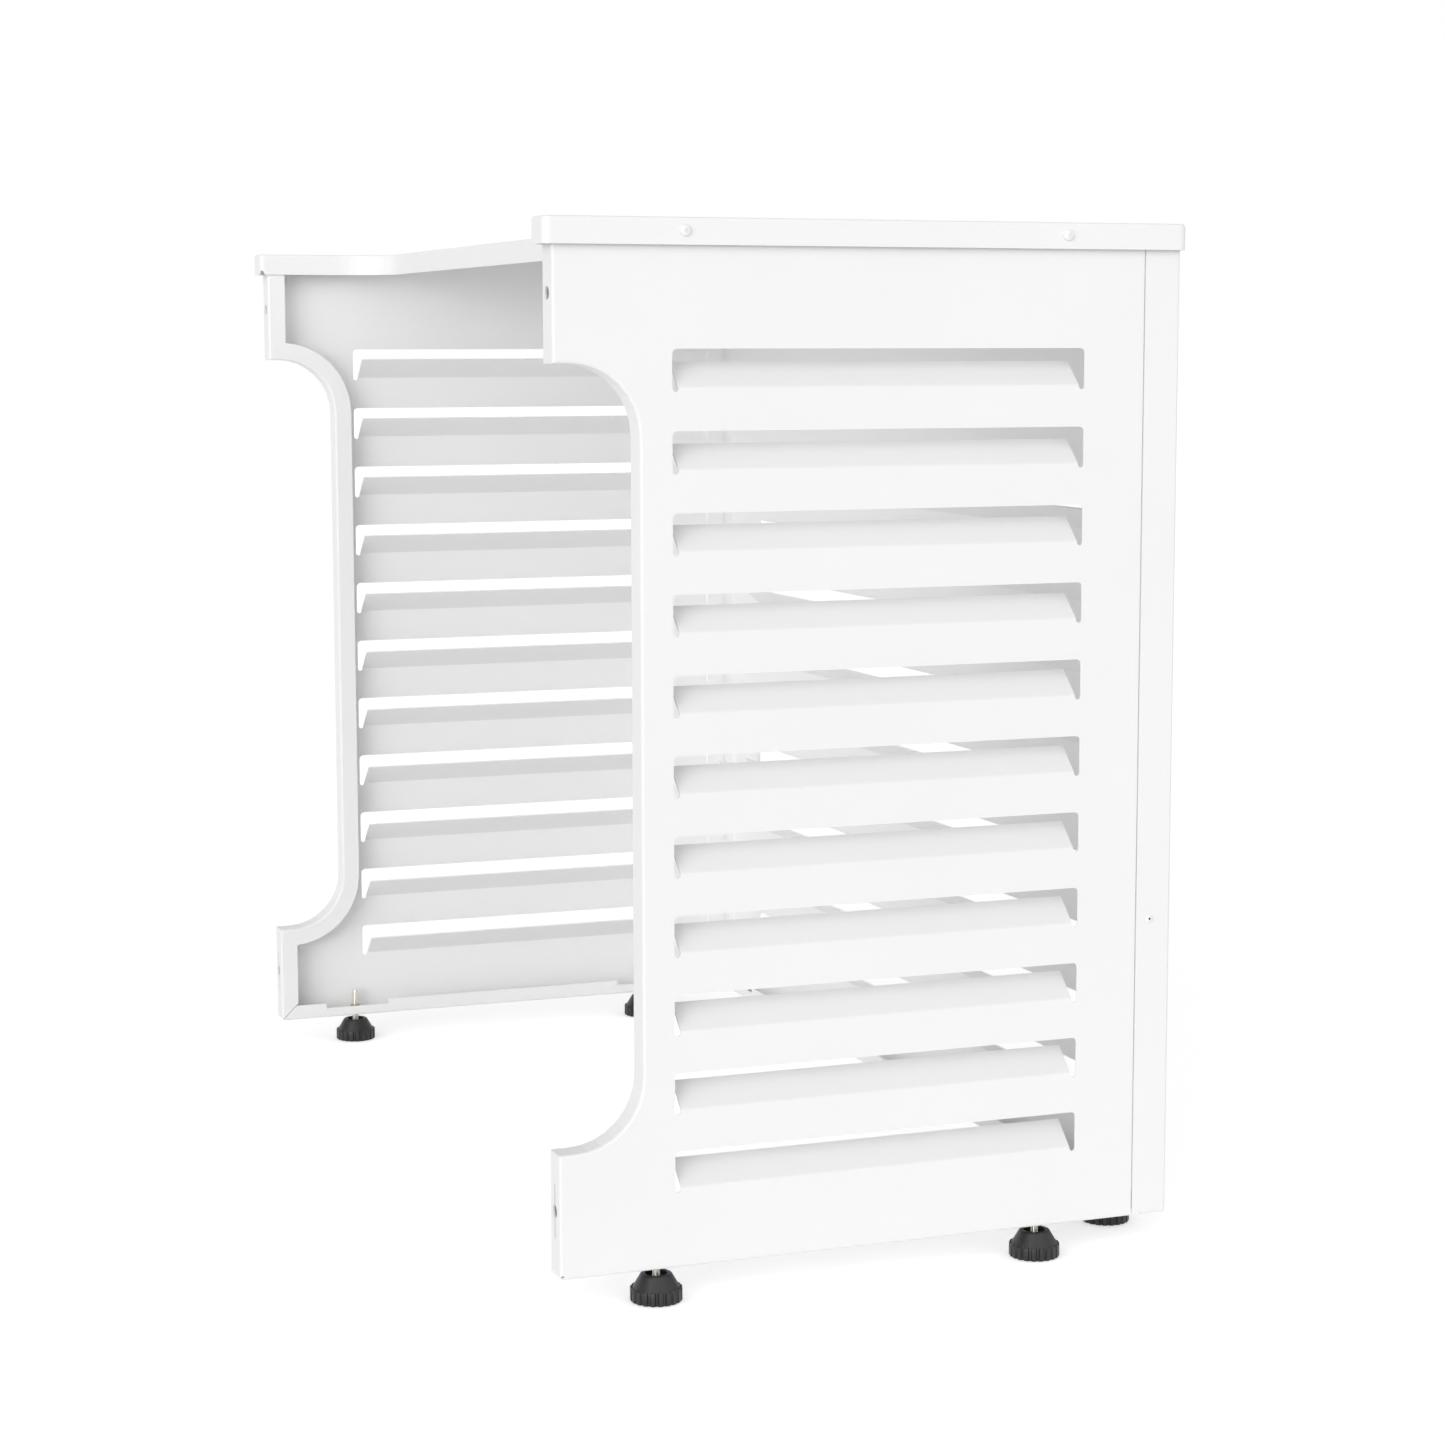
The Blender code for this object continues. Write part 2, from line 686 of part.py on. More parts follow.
def side_screws(sign):
    # Lid screw axes on one side skirt, at the panel's outer face
    across = sign * HALF_WIDTH
    level = BASE_Z + SCREW_LEVEL
    near = Vector((across, WALL_Y - SCREW_FROM_END, level))
    far = Vector((across, FRONT_Y + SCREW_FROM_END, level))
    return [(near, X_AXIS * sign), (far, X_AXIS * sign)]


def front_screws():
    # Lid screw axes on the front skirt
    reach = HALF_WIDTH - SCREW_FROM_END
    level = BASE_Z + SCREW_LEVEL
    return [(Vector((-reach, FRONT_Y, level)), -Y_AXIS), (Vector((reach, FRONT_Y, level)), -Y_AXIS)]


def all_screws():
    # Every lid screw axis
    return side_screws(SIDES["left"]) + side_screws(SIDES["right"]) + front_screws()


def side_screw_holes(sign):
    # Lid screw holes in a side panel
    radius = SCREW_SHANK_RADIUS + CLEARANCE
    return [(place, direction, radius) for place, direction in side_screws(sign)]


def front_screw_holes():
    # Lid screw holes in the front panel
    radius = SCREW_SHANK_RADIUS + CLEARANCE
    return [(place, direction, radius) for place, direction in front_screws()]


def skirt_screws():
    # Lid screw axes at the outer face of the skirt
    side = side_screws(SIDES["left"]) + side_screws(SIDES["right"])
    moved = [(place + direction * COVER_OVERHANG, direction) for place, direction in side]
    for place, direction in front_screws():
        moved.append((place + direction * FRONT_OVERHANG, direction))
    return moved


def cover_screw_holes():
    # Lid screw holes in the skirt
    radius = SCREW_SHANK_RADIUS + CLEARANCE
    holes = []
    for place, direction in skirt_screws():
        holes.append((place - direction * SHEET / 2, direction, radius))
    return holes


def lid_screws(material):
    # Pan-head screws through the skirt
    tip = CLEARANCE - SCREW_LENGTH
    top = CLEARANCE + SCREW_HEAD_HEIGHT
    rings = [(0, tip, 0), (SCREW_SHANK_RADIUS, tip, 0), (SCREW_SHANK_RADIUS, CLEARANCE, 0),
             (SCREW_HEAD_RADIUS, CLEARANCE, 0), (SCREW_HEAD_RADIUS, CLEARANCE + SCREW_HEAD_EDGE, 0),
             (SCREW_CROWN_RADIUS, top, 0), (0, top, 0)]
    data = turned_mesh("lid_screw", rings, ROUND_SEGMENTS, material)
    add_copies(data, numbered("lid_screw", skirt_screws()))


def lid_nuts(material):
    # Round nuts behind the panel for the lid screws
    bore = SCREW_SHANK_RADIUS + CLEARANCE
    near = -SHEET - CLEARANCE
    far = near - NUT_LENGTH
    rings = [(bore, far, 0), (NUT_RADIUS - NUT_CHAMFER, far, 0),
             (NUT_RADIUS, far + NUT_CHAMFER, 0), (NUT_RADIUS, near, 0), (bore, near, 0)]
    data = turned_mesh("lid_nut", rings, SMALL_SEGMENTS, material)
    add_copies(data, numbered("lid_nut", all_screws()))


def corner_rivets(material):
    # Blind rivets through a return and the tongue behind it
    behind = -SHEET - CLEARANCE - SHEET - CLEARANCE
    end = behind - RIVET_BULB_LENGTH
    top = CLEARANCE + RIVET_HEAD_HEIGHT
    rings = [(0, end, 0), (RIVET_SHANK_RADIUS, end, 0),
             (RIVET_BULB_RADIUS, end + RIVET_BULB_LENGTH / 2, 0), (RIVET_BULB_RADIUS, behind, 0),
             (RIVET_SHANK_RADIUS, behind, 0), (RIVET_SHANK_RADIUS, CLEARANCE, 0),
             (RIVET_HEAD_RADIUS, CLEARANCE, 0), (RIVET_PIT_RADIUS, top, 0),
             (RIVET_PIT_RADIUS, top - RIVET_PIT_DEPTH, 0), (0, top - RIVET_PIT_DEPTH, 0)]
    data = turned_mesh("corner_rivet", rings, SMALL_SEGMENTS, material)
    add_copies(data, {"corner_rivet_" + side: rivet_place(sign) for side, sign in SIDES.items()})


def foot_inserts(material):
    # Threaded inserts pressed into the bottom flanges
    bore = STUD_RADIUS + CLEARANCE
    top = SHEET + CLEARANCE
    rings = [(bore, -CLEARANCE - INSERT_COLLAR, 0),
             (INSERT_COLLAR_RADIUS, -CLEARANCE - INSERT_COLLAR, 0),
             (INSERT_COLLAR_RADIUS, -CLEARANCE, 0), (INSERT_RADIUS, -CLEARANCE, 0),
             (INSERT_RADIUS, top, 0), (INSERT_BULGE_RADIUS, top, 0),
             (INSERT_RADIUS, top + INSERT_BULGE_LENGTH, 0),
             (INSERT_RADIUS, INSERT_HEIGHT, 0), (bore, INSERT_HEIGHT, 0)]
    data = turned_mesh("foot_insert", rings, ROUND_SEGMENTS, material)
    places = {"foot_insert_" + name: (place, Z_AXIS) for name, place in all_feet().items()}
    add_copies(data, places)


def all_feet():
    # Name and axis of every foot
    feet = {}
    for side, sign in SIDES.items():
        rear, fore = side_feet(sign)
        feet[side + "_rear"] = rear
        feet[side + "_fore"] = fore
    feet["front_left"], feet["front_right"] = front_feet()
    return feet


def foot_bases(material):
    # Fluted bases with a cup around the stud and a socket for its end
    socket = STUD_RADIUS + CLEARANCE
    edge = FOOT_RADIUS - FOOT_EDGE
    rings = [(0, 0, 0), (edge, 0, 1), (FOOT_RADIUS, FOOT_EDGE, 1),
             (FOOT_RADIUS, FOOT_RIM - FOOT_EDGE, 1), (edge, FOOT_RIM, 1),
             (FOOT_NECK_RADIUS, FOOT_HEIGHT, 0), (FOOT_CUP_RADIUS, FOOT_HEIGHT, 0),
             (FOOT_CUP_RADIUS, FOOT_CUP_FLOOR, 0), (socket, FOOT_CUP_FLOOR, 0),
             (socket, FOOT_SOCKET_FLOOR, 0), (0, FOOT_SOCKET_FLOOR, 0)]
    data = turned_mesh("foot_base", rings, FOOT_FLUTES * 2, material, FOOT_FLUTE)
    add_copies(data, on_floor("foot_base_"))


def foot_studs(material):
    # Threaded rods drawn as plain cylinders with a pointed end
    low = FOOT_SOCKET_FLOOR + CLEARANCE
    high = FOOT_GAP + STUD_ABOVE_PANEL
    rings = [(0, low, 0), (STUD_RADIUS, low, 0), (STUD_RADIUS, high - STUD_CHAMFER, 0),
             (STUD_TIP_RADIUS, high, 0), (0, high, 0)]
    data = turned_mesh("foot_stud", rings, ROUND_SEGMENTS, material)
    add_copies(data, on_floor("foot_stud_"))


def on_floor(name):
    # Every foot axis at floor level
    places = {}
    for foot, place in all_feet().items():
        places[name + foot] = (Vector((place.x, place.y, 0)), Z_AXIS)
    return places


def main():
    for old in list(bpy.data.objects):
        bpy.data.objects.remove(old)
    white = paint("white_powder_coat", PAINT_WHITE, PAINT_ROUGH_SHARE, 0)
    steel = paint("zinc_plated_steel", PLATED_STEEL, STEEL_ROUGH_SHARE, 1)
    plastic = paint("black_plastic", FOOT_BLACK, PLASTIC_ROUGH_SHARE, 0)
    for side in SIDES:
        side_panel(side, white)
    front_panel(white)
    top_cover(white)
    corner_rivets(white)
    lid_screws(steel)
    lid_nuts(steel)
    foot_inserts(steel)
    foot_studs(steel)
    foot_bases(plastic)


main()
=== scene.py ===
import math

import bmesh
import bpy
from mathutils import Matrix, Vector


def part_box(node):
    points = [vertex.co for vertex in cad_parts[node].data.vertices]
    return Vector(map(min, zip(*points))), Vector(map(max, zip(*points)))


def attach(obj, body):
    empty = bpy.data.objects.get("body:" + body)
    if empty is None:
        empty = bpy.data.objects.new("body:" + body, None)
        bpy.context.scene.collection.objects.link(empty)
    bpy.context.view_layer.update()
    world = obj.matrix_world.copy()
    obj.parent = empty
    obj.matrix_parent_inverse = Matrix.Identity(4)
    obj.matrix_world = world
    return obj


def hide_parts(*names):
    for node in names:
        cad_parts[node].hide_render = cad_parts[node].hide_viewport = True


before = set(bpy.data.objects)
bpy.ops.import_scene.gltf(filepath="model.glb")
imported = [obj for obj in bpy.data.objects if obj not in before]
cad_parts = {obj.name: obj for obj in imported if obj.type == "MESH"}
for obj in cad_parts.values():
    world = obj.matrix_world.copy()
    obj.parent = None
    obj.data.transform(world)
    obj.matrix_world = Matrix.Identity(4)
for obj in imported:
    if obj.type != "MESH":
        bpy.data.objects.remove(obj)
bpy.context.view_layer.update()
print("frame loaded:", len(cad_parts), "nodes")

mm = 0.001


def linear(hexColour):
    # sRGB hex to the linear numbers that the shader reads
    shares = [int(hexColour[i:i + 2], 16) / 255 for i in (0, 2, 4)]
    return [c / 12.92 if c <= 0.04045 else ((c + 0.055) / 1.055) ** 2.4 for c in shares] + [1.0]


white = linear("FFFFFF")


def node(tree, kind, settings=None, **links):
    # adds a node, sets its properties and inputs, and links the named inputs
    made = tree.nodes.new(kind)
    for key, value in (settings or {}).items():
        if hasattr(made, key):
            setattr(made, key, value)
        else:
            made.inputs[key].default_value = value
    for key, source in links.items():
        tree.links.new(source, made.inputs[key.replace("_", " ")])
    return made


def grainOf(sizeMm, detail):
    # noise settings that give features about this many millimetres wide
    return {"Scale": 1 / (sizeMm * mm), "Detail": detail}


def newMaterial(name):
    made = bpy.data.materials.new(name)
    made.use_nodes = True
    tree = made.node_tree
    place = node(tree, "ShaderNodeTexCoord").outputs["Object"]
    return made, tree, tree.nodes["Principled BSDF"], place


def twoTones(tree, shader, share, one, other):
    # base colour that runs from one tone to the other with a share, on the node's sockets for colours
    tone = node(tree, "ShaderNodeMix", {"data_type": "RGBA"})
    tone.inputs[6].default_value = linear(one)
    tone.inputs[7].default_value = linear(other)
    tree.links.new(share, tone.inputs[0])
    tree.links.new(tone.outputs[2], shader.inputs["Base Color"])


def glossRange(tree, shader, share, low, high):
    # roughness that runs between two numbers with a share
    gloss = node(tree, "ShaderNodeMapRange", {"To Min": low, "To Max": high}, Value=share)
    tree.links.new(gloss.outputs["Result"], shader.inputs["Roughness"])


def relief(tree, shader, height, strength, deepMm):
    # bump from a height share
    bump = node(tree, "ShaderNodeBump", {"Strength": strength, "Distance": deepMm * mm}, Height=height)
    tree.links.new(bump.outputs["Normal"], shader.inputs["Normal"])


# Polyester powder coat, sprayed on folded steel and baked: a faint orange peel breaks up the
# reflections, and a very slow drift of tone keeps the large faces from looking like paper.
def powderCoat(name, settings):
    made, tree, shader, place = newMaterial(name)
    drift = node(tree, "ShaderNodeTexNoise", grainOf(*settings["drift"]), Vector=place)
    peel = node(tree, "ShaderNodeTexNoise", grainOf(*settings["peel"]), Vector=place)
    twoTones(tree, shader, drift.outputs["Fac"], settings["light"], settings["shade"])
    glossRange(tree, shader, drift.outputs["Fac"], settings["roughLow"], settings["roughHigh"])
    relief(tree, shader, peel.outputs["Fac"], settings["peelStrength"], settings["peelDeepMm"])
    return made


# drift, peel, cloud and grain are a feature's size in mm and its octaves of detail
coatSettings = {"light": "F7F7F7", "shade": "F3F3F3", "drift": (140, 2.0), "peel": (1.6, 1.0),
                "peelStrength": 0.12, "peelDeepMm": 0.05, "roughLow": 0.42, "roughHigh": 0.5}
whiteCoat = powderCoat("polyester_powder_coat_sprayed_and_baked", coatSettings)


# Zinc plating, blue passivated, on cold-formed steel: a grey metal with soft cloudy patches.
def zincPlate(name, settings):
    made, tree, shader, place = newMaterial(name)
    cloud = node(tree, "ShaderNodeTexNoise", grainOf(*settings["cloud"]), Vector=place)
    twoTones(tree, shader, cloud.outputs["Fac"], settings["bright"], settings["dull"])
    glossRange(tree, shader, cloud.outputs["Fac"], settings["roughLow"], settings["roughHigh"])
    shader.inputs["Metallic"].default_value = 1.0
    return made


zincSettings = {"bright": "CFCDC6", "dull": "A9A7A0", "cloud": (3, 3.0), "roughLow": 0.26, "roughHigh": 0.42}
zinc = zincPlate("zinc_plated_cold_formed_steel", zincSettings)

# Thread rolling burnishes the studs: brighter and smoother than the fasteners around them.
rolledSettings = {"bright": "F8F6F0", "dull": "E2DFD6", "cloud": (4, 3.0), "roughLow": 0.1, "roughHigh": 0.18}
rolledZinc = zincPlate("zinc_plated_rolled_thread", rolledSettings)


# Black polyamide, injection moulded in a spark-eroded tool: a fine matt grain that greys the highlights.
def mouldedBlack(name, settings):
    made, tree, shader, place = newMaterial(name)
    grain = node(tree, "ShaderNodeTexNoise", grainOf(*settings["grain"]), Vector=place)
    twoTones(tree, shader, grain.outputs["Fac"], settings["deep"], settings["worn"])
    relief(tree, shader, grain.outputs["Fac"], settings["grainStrength"], settings["grainDeepMm"])
    shader.inputs["Roughness"].default_value = settings["rough"]
    return made


blackSettings = {"deep": "151415", "worn": "2B292B", "grain": (0.8, 2.0), "grainStrength": 0.7,
                 "grainDeepMm": 0.12, "rough": 0.4}
blackPolyamide = mouldedBlack("black_polyamide_spark_grain", blackSettings)


# Snapped mandrel of a blind rivet: bare steel with a rough break, coloured far darker than bare steel as
# painted shade for the deep pit in the rivet's head.
def mandrelSteelAsPaintedShade(name, settings):
    made, tree, shader, place = newMaterial(name)
    breakage = node(tree, "ShaderNodeTexNoise", grainOf(*settings["grain"]), Vector=place)
    twoTones(tree, shader, breakage.outputs["Fac"], settings["dark"], settings["light"])
    shader.inputs["Roughness"].default_value = settings["rough"]
    shader.inputs["Metallic"].default_value = 1.0
    return made


# both tones are painted pit shade, well below the grey of bare steel; the grain between them varies at random
mandrelShadeSettings = {"dark": "2A2827", "light": "4A4643", "grain": (0.4, 2.0), "rough": 0.7}
mandrelPaintedShade = mandrelSteelAsPaintedShade("snapped_mandrel_steel", mandrelShadeSettings)
print("materials made:", len(bpy.data.materials))


def link(name, data, material):
    made = bpy.data.objects.new(name, data)
    bpy.context.scene.collection.objects.link(made)
    data.materials.clear()
    data.materials.append(material)
    return made


def ringsToMesh(name, rings):
    # closed mesh from equal rings of points; a ring of one point closes an end
    mesh = bmesh.new()
    rows = [[mesh.verts.new(point) for point in ring] for ring in rings]
    for low, high in zip(rows[:-1], rows[1:]):
        count = max(len(low), len(high))
        for i in range(count):
            j = (i + 1) % count
            if len(low) == 1:
                mesh.faces.new((low[0], high[j], high[i]))
            elif len(high) == 1:
                mesh.faces.new((low[i], low[j], high[0]))
            else:
                mesh.faces.new((low[i], low[j], high[j], high[i]))
    bmesh.ops.recalc_face_normals(mesh, faces=mesh.faces)
    data = bpy.data.meshes.new(name)
    mesh.to_mesh(data)
    mesh.free()
    return data


def smooth(data, degrees):
    data.shade_smooth()
    data.set_sharp_from_angle(angle=math.radians(degrees))


def turned(name, profile, segments, flute=None):
    # profile is a list of radius and height, and the flute's share where it has flutes
    rings = []
    for radius, height, *share in profile:
        if radius == 0:
            rings.append([Vector((0, 0, height))])
            continue
        ring = []
        for i in range(segments):
            angle = math.tau * i / segments
            reach = radius - (flute(angle) * share[0] if flute else 0)
            ring.append(Vector((reach * math.cos(angle), reach * math.sin(angle), height)))
        rings.append(ring)
    return ringsToMesh(name, rings)


def middleOf(name):
    low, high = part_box(name)
    return (low + high) / 2


def outwardOf(name):
    # direction in which a fastener's head points, from where it sits
    low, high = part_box(name)
    if high.y - low.y > high.x - low.x:
        return Vector((0, -1, 0))
    return Vector((1 if low.x > 0 else -1, 0, 0))


def setOn(name, data, material, underHead):
    # detailed fastener in place of its plain one, with its head's underside on the same plane
    low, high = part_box(name)
    out = outwardOf(name)
    tip = max(abs(c) for c in (low.dot(out), high.dot(out)))
    place = middleOf(name)
    place += out * (tip - underHead - place.dot(out))
    piece = link("detailed_" + name, data, material)
    piece.rotation_mode = "QUATERNION"
    piece.rotation_quaternion = out.to_track_quat("Z", "Y")
    piece.location = place
    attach(piece, "screen")
    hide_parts(name)
    return piece


# M6 thread of the foot studs, single start, 1 mm pitch
studSettings = {"radius": 3.0 * mm, "rootRadius": 2.42 * mm, "pitch": 1.0 * mm, "tipRadius": 2.2 * mm,
                "startShare": 0.2, "flankShare": 2.6, "crestShare": 1.3, "rowsPerPitch": 5, "segments": 24,
                "smoothDegrees": 35}


def threadedStud(name, length, settings):
    # helical rows of points, with the thread faded out at both ends
    pitch, segments = settings["pitch"], settings["segments"]
    rows = []
    for k in range(int(length / pitch * settings["rowsPerPitch"]) + 1):
        turns = k / settings["rowsPerPitch"]
        height = min(turns * pitch, length)
        fade = max(0.0, min(1.0, (length - height) / pitch, height / pitch + settings["startShare"]))
        outer = settings["tipRadius"] + (settings["radius"] - settings["tipRadius"]) * fade
        root = min(settings["rootRadius"], outer)
        ring = []
        for i in range(segments):
            phase = (turns - i / segments) % 1.0
            wave = min(1.0, max(0.0, 1 - abs(phase - 0.5) * settings["flankShare"]) * settings["crestShare"])
            reach = root + (outer - root) * wave
            angle = math.tau * i / segments
            ring.append(Vector((reach * math.cos(angle), reach * math.sin(angle), height)))
        rows.append(ring)
    rows = [[Vector((0, 0, 0))]] + rows + [[Vector((0, 0, rows[-1][0].z))]]
    return ringsToMesh(name, rows)


# Ribbed foot bases with a cup around the stud. A point of the sole is an inset from the radius, a height and
# a share of the flute. One of the rim has a drop from the rim in place of the height, and one of the neck is
# an inset from the neck and a drop from the top.
baseSettings = {"radius": 20 * mm, "height": 21.5 * mm, "rim": 10.8 * mm, "neck": 11.75 * mm,
                "flute": 1.2 * mm, "flutes": 20, "crest": 0.54, "flank": 0.16,
                "sole": ((2.2 * mm, 0, 0.6), (0.5 * mm, 0.42 * mm, 1), (0, 1.2 * mm, 1)),
                "rimRound": ((0, 0.72 * mm, 1), (0.15 * mm, 0.24 * mm, 1), (0.4 * mm, 0, 1), (0.6 * mm, 0, 1),
                             (1.6 * mm, 0.5 * mm, 0.7), (1.9 * mm, 0.1 * mm, 0)),
                "neckRound": ((-1.2 * mm, 2.0 * mm), (-0.5 * mm, 0.8 * mm), (0, 0.25 * mm), (0.5 * mm, 0)),
                "cup": 5.3 * mm, "cupTop": 8.6 * mm, "cupStep": 17.5 * mm, "cupLip": 0.4 * mm,
                "floor": 7 * mm, "segments": 320, "smoothDegrees": 35}


def footBase(name, settings):
    s = settings
    top, lip = s["height"], s["cupLip"]
    profile = [(0, 0, 0)]
    profile += [(s["radius"] - inset, height, share) for inset, height, share in s["sole"]]
    profile += [(s["radius"] - inset, s["rim"] - drop, share) for inset, drop, share in s["rimRound"]]
    profile += [(s["neck"] - inset, top - drop, 0) for inset, drop in s["neckRound"]]
    profile += [(s["cupTop"] + lip, top, 0), (s["cupTop"], top - lip, 0)]
    profile += [(s["cupTop"] - lip, s["cupStep"], 0), (s["cup"], s["cupStep"], 0)]
    profile += [(s["cup"], s["floor"], 0), (0, s["floor"], 0)]

    def flute(angle):
        # flat crests and flat valleys joined by steep flanks
        phase = abs((angle * s["flutes"] / math.tau) % 1.0 - 0.5) * 2
        share = min(1.0, max(0.0, (phase - s["crest"]) / s["flank"]))
        return s["flute"] * share * share * (3 - 2 * share)
    return turned(name, profile, s["segments"], flute)


studLow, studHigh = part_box("foot_stud_left_rear")
studData = threadedStud("foot_stud", studHigh.z - studLow.z, studSettings)
baseData = footBase("foot_base", baseSettings)
feet = [n[len("foot_base_"):] for n in sorted(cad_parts) if n.startswith("foot_base_")]
for foot in feet:
    axis = middleOf("foot_base_" + foot)
    for kind, data, material, low, body, slotName in (
            ("foot_base_", baseData, blackPolyamide, 0, "base_", "foot_plastic"),
            ("foot_stud_", studData, rolledZinc, studLow.z, "stud_", "stud_zinc")):
        piece = link("detailed_" + kind + foot, data, material)
        piece.location = (axis.x, axis.y, low)
        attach(piece, body + foot)
        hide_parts(kind + foot)
smooth(studData, studSettings["smoothDegrees"])
smooth(baseData, baseSettings["smoothDegrees"])
print("feet made:", len(feet))


# pan-head lid screws with a shallow cross recess, painted with the lid
screwSettings = {"radius": 4.25 * mm, "high": 2.6 * mm, "shank": 2.0 * mm, "length": 13.5 * mm,
                 "underRound": 0.2 * mm, "rimHigh": 0.25 * mm, "domeShare": 0.32, "domeSteps": 8,
                 "crossLong": 3.0 * mm, "crossWide": 0.7 * mm, "crossDeep": 0.8 * mm,
                 "segments": 48, "smoothDegrees": 30}


def panScrew(name, settings):
    s = settings
    r, h, start = s["radius"], s["high"], s["domeShare"]
    angles = [math.pi / 2 * i / s["domeSteps"] for i in range(s["domeSteps"])]
    profile = [(0, -s["length"]), (s["shank"], -s["length"]), (s["shank"], 0)]
    profile += [(r - s["underRound"], 0), (r, s["rimHigh"])]
    profile += [(r * math.cos(angle), h * start + h * (1 - start) * math.sin(angle)) for angle in angles]
    data = turned(name, profile + [(0, h)], s["segments"])
    cutter = bmesh.new()
    for across in (0, math.pi / 2):
        made = bmesh.ops.create_cube(cutter, size=1.0)["verts"]
        bmesh.ops.scale(cutter, verts=made, vec=(s["crossLong"], s["crossWide"], s["crossDeep"] * 2))
        bmesh.ops.rotate(cutter, verts=made, cent=(0, 0, 0), matrix=Matrix.Rotation(across, 3, "Z"))
        bmesh.ops.translate(cutter, verts=made, vec=(0, 0, h))
    cutData = bpy.data.meshes.new(name + "_cut")
    cutter.to_mesh(cutData)
    cutter.free()
    body = bpy.data.objects.new(name, data)
    cut = bpy.data.objects.new(name + "_cut", cutData)
    for made in (body, cut):
        bpy.context.scene.collection.objects.link(made)
    recess = body.modifiers.new("recess", "BOOLEAN")
    recess.object = cut
    recess.operation = "DIFFERENCE"
    recess.use_self = True
    done = bpy.data.meshes.new_from_object(body.evaluated_get(bpy.context.evaluated_depsgraph_get()))
    bpy.data.objects.remove(body)
    bpy.data.objects.remove(cut)
    return done


screwData = panScrew("lid_screw", screwSettings)
screwNames = sorted(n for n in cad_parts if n.startswith("lid_screw"))
for name in screwNames:
    setOn(name, screwData, whiteCoat, screwSettings["high"])
smooth(screwData, screwSettings["smoothDegrees"])
print("screws made:", len(screwNames))


# blind rivets at the corner seams, painted, with the snapped mandrel deep in the head
rivetSettings = {"radius": 3.2 * mm, "high": 1.0 * mm, "crownIn": 0.62, "crownFoot": 0.1, "crownSteps": 5,
                 "pit": 1.0 * mm, "pitRound": 0.06 * mm, "pitDeep": 0.9 * mm, "shank": 1.6 * mm,
                 "bulb": 2.4 * mm, "bulbFrom": -3.6 * mm, "bulbTo": -5.2 * mm, "length": 7.1 * mm,
                 "segments": 40, "smoothDegrees": 35}


def blindRivet(name, settings):
    s = settings
    r, h = s["radius"], s["high"]
    profile = [(0, -s["length"]), (s["shank"], -s["length"]), (s["bulb"], s["bulbTo"])]
    profile += [(s["bulb"], s["bulbFrom"]), (s["shank"], s["bulbFrom"]), (s["shank"], 0), (r, 0)]
    for i in range(s["crownSteps"] + 1):
        share = i / s["crownSteps"]
        rise = s["crownFoot"] + (1 - s["crownFoot"]) * math.sin(math.pi / 2 * share)
        profile.append((r * (1 - s["crownIn"] * share), h * rise))
    profile += [(s["pit"], h - s["pitRound"]), (s["pit"], h - s["pitDeep"]), (0, h - s["pitDeep"])]
    return turned(name, profile, s["segments"])


# the snapped mandrel's stub, with a torn rim round a small dent
stubSettings = {"radius": 0.96 * mm, "high": 0.25 * mm, "rim": 0.5 * mm, "rimHigh": 0.42 * mm,
                "dent": 0.3 * mm, "clear": 0.01 * mm, "segments": 24, "smoothDegrees": 35}


def mandrelStub(name, settings):
    s = settings
    profile = [(0, 0), (s["radius"], 0), (s["radius"], s["high"]), (s["rim"], s["rimHigh"]), (0, s["dent"])]
    return turned(name, profile, s["segments"])


rivetData = blindRivet("corner_rivet", rivetSettings)
stubData = mandrelStub("mandrel", stubSettings)
stubHeight = rivetSettings["high"] - rivetSettings["pitDeep"] + stubSettings["clear"]
rivetNames = sorted(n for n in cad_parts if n.startswith("corner_rivet"))
for name in rivetNames:
    rivet = setOn(name, rivetData, whiteCoat, rivetSettings["high"])
    # the stub's dark colour is painted shade at the bottom of the rivet's pit
    stub = link("mandrel_of_" + name, stubData, mandrelPaintedShade)
    stub.rotation_mode = "QUATERNION"
    stub.rotation_quaternion = rivet.rotation_quaternion
    stub.location = rivet.location + outwardOf(name) * stubHeight
    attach(stub, "screen")
smooth(rivetData, rivetSettings["smoothDegrees"])
smooth(stubData, stubSettings["smoothDegrees"])
print("rivets made:", len(rivetNames))

# carried-over solids with their finish, the folded sheets with softened bends and cut edges
edgeSettings = {"wide": 0.35 * mm, "segments": 2, "degrees": 25}
for name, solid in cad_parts.items():
    finish = zinc if name.startswith(("lid_nut", "foot_insert")) else whiteCoat
    solid.data.materials.clear()
    solid.data.materials.append(finish)
    if name.startswith(("side_panel", "front_panel", "top_cover")):
        soft = solid.modifiers.new("soft edges", "BEVEL")
        soft.width = edgeSettings["wide"]
        soft.segments = edgeSettings["segments"]
        soft.limit_method = "ANGLE"
        soft.angle_limit = math.radians(edgeSettings["degrees"])
        soft.use_clamp_overlap = True
        soft.harden_normals = True
print("finishes assigned")


def shownRays(tree):
    # one for rays from the camera, reflections and glass, so that all of them see a white studio
    rays = node(tree, "ShaderNodeLightPath").outputs
    shown = rays["Is Camera Ray"]
    for kind in ("Is Glossy Ray", "Is Transmission Ray"):
        either = node(tree, "ShaderNodeMath", {"operation": "MAXIMUM"})
        tree.links.new(shown, either.inputs[0])
        tree.links.new(rays[kind], either.inputs[1])
        shown = either.outputs["Value"]
    return shown


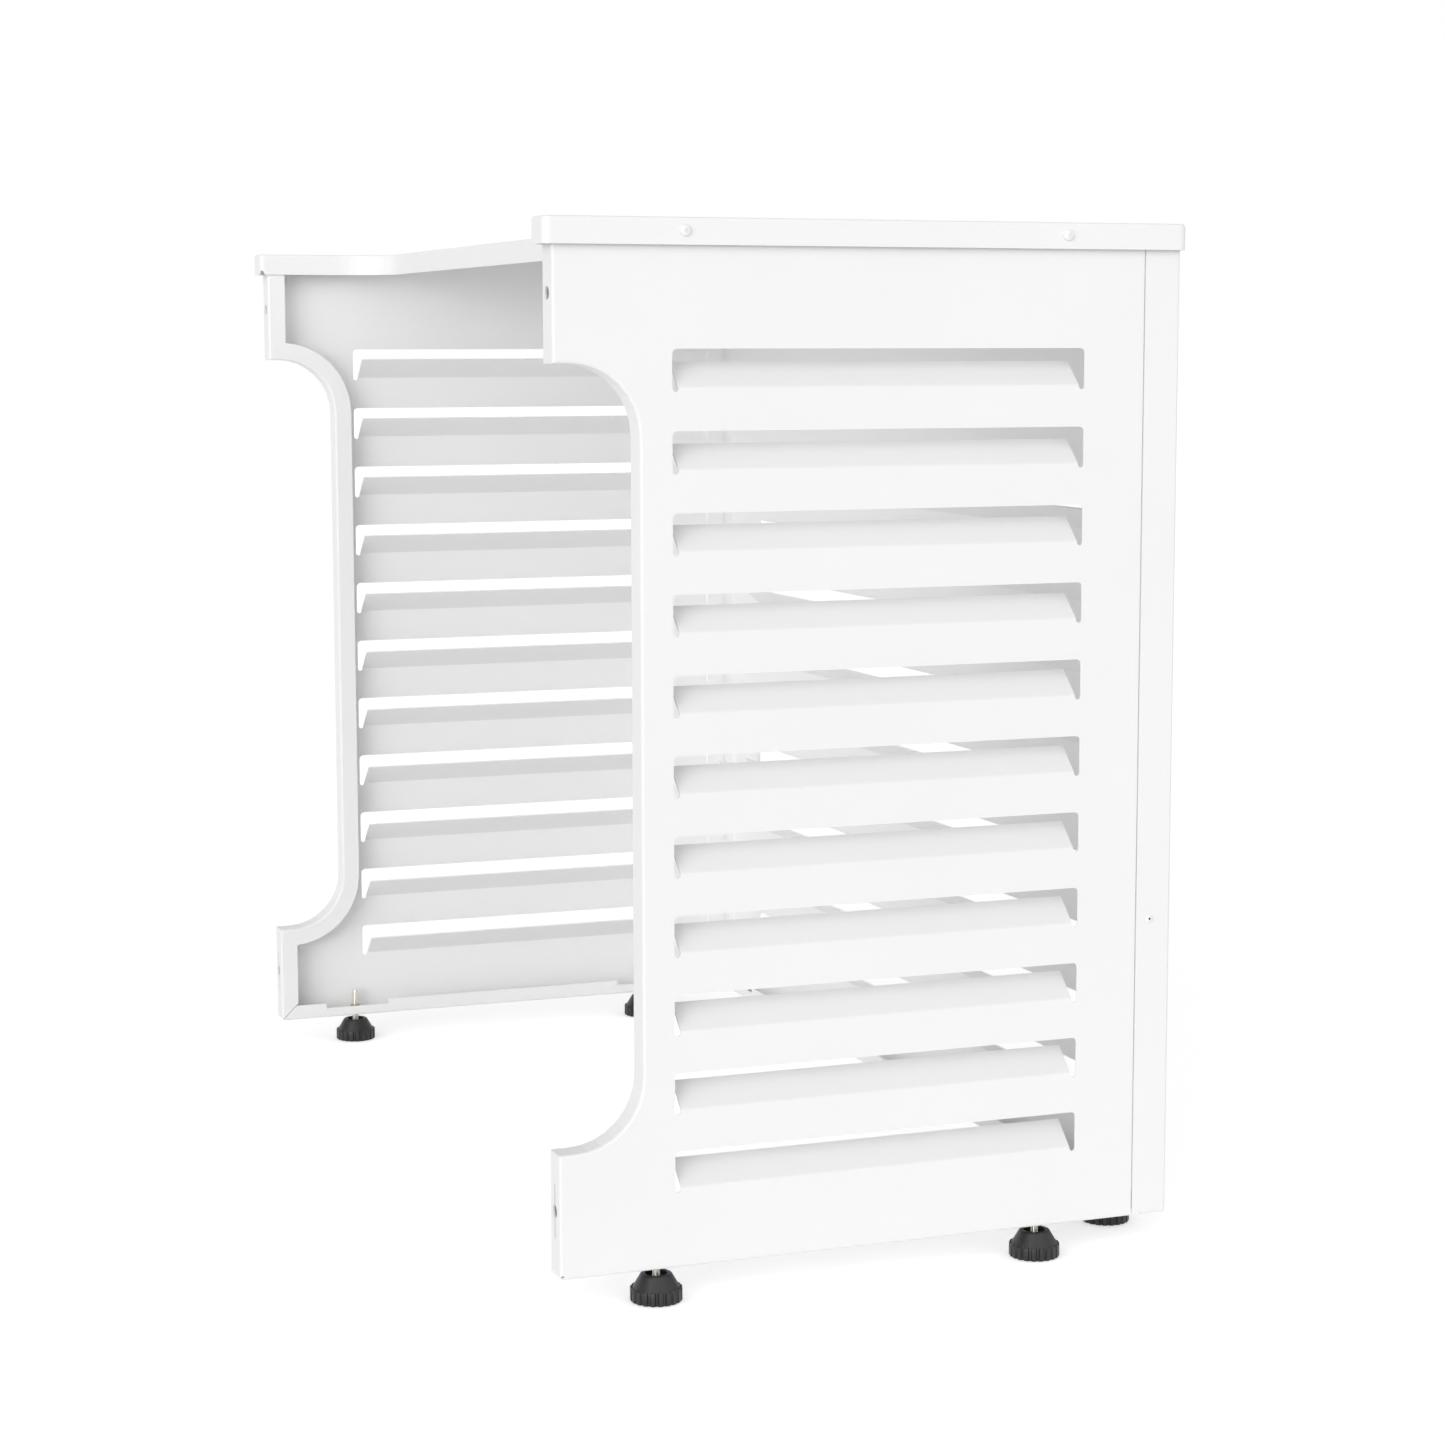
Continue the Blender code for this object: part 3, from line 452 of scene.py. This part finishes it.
# matt white studio floor, shown a little brighter than it is lit so that it runs into the backdrop
floorSettings = {"half": 40, "glow": 0.4}
floorMesh = bmesh.new()
bmesh.ops.create_grid(floorMesh, x_segments=1, y_segments=1, size=floorSettings["half"])
floorData = bpy.data.meshes.new("floor")
floorMesh.to_mesh(floorData)
floorMesh.free()
floorCoat, floorTree, floorShader = newMaterial("matt_white_studio_floor")[:3]
matt = {"Base Color": white, "Roughness": 1.0, "Specular IOR Level": 0.0, "Emission Color": white}
for key, value in matt.items():
    floorShader.inputs[key].default_value = value
glowRange = {"To Min": 0.0, "To Max": floorSettings["glow"]}
glow = node(floorTree, "ShaderNodeMapRange", glowRange, Value=shownRays(floorTree))
floorTree.links.new(glow.outputs["Result"], floorShader.inputs["Emission Strength"])
floor = link("floor", floorData, floorCoat)

# studio sky: plain and even as light, white where the camera or a reflection looks past the floor
skySettings = {"asLight": 0.5, "asShown": 1.0}
world = bpy.data.worlds.new("studio")
bpy.context.scene.world = world
world.use_nodes = True
sky = world.node_tree
sky.nodes.clear()
asLight = node(sky, "ShaderNodeBackground", {"Color": white, "Strength": skySettings["asLight"]})
asShown = node(sky, "ShaderNodeBackground", {"Color": white, "Strength": skySettings["asShown"]})
pick = node(sky, "ShaderNodeMixShader")
sky.links.new(shownRays(sky), pick.inputs[0])
sky.links.new(asLight.outputs["Background"], pick.inputs[1])
sky.links.new(asShown.outputs["Background"], pick.inputs[2])
worldOut = node(sky, "ShaderNodeOutputWorld")
sky.links.new(pick.outputs["Shader"], worldOut.inputs["Surface"])


def backVector(azimuth, elevation):
    # towards a lamp that shines on the object from there
    a, e = math.radians(azimuth), math.radians(elevation)
    return Vector((math.sin(a) * math.cos(e), -math.cos(a) * math.cos(e), math.sin(e)))


# soft lamps either side of the camera, the low ones to reach in under the louvres, as azimuth, elevation,
# strength and softness in degrees
lampSettings = {"front side": (285, 24, 0.43, 50), "wall side": (225, 24, 0.69, 50),
                "low wall side": (225, 5, 0.7, 30), "low wall end": (205, 5, 0.33, 30)}
for name, (azimuth, elevation, strength, softness) in lampSettings.items():
    lampData = bpy.data.lights.new(name, "SUN")
    lampData.energy = strength
    lampData.angle = math.radians(softness)
    lamp = bpy.data.objects.new(name, lampData)
    bpy.context.scene.collection.objects.link(lamp)
    lamp.rotation_mode = "QUATERNION"
    lamp.rotation_quaternion = backVector(azimuth, elevation).to_track_quat("Z", "Y")

# the camera solved from measured points of the photo
camSettings = {"place": (-2.5773, 0.9152, 0.7165), "azimuth": 249.307, "down": 7.024, "roll": -0.108,
               "sensorMm": 36, "focalPixels": 3029.3, "photoPixels": 1445}
camData = bpy.data.cameras.new("camera")
camData.lens = camSettings["sensorMm"] * camSettings["focalPixels"] / camSettings["photoPixels"]
camData.sensor_width = camSettings["sensorMm"]
camera = bpy.data.objects.new("camera", camData)
bpy.context.scene.collection.objects.link(camera)
turn = (Matrix.Rotation(math.radians(camSettings["azimuth"]), 4, "Z")
        @ Matrix.Rotation(math.radians(90 - camSettings["down"]), 4, "X")
        @ Matrix.Rotation(math.radians(camSettings["roll"]), 4, "Z"))
camera.matrix_world = Matrix.Translation(Vector(camSettings["place"])) @ turn
bpy.context.scene.camera = camera
bpy.context.scene.view_settings.view_transform = "Standard"
print("light and camera set")
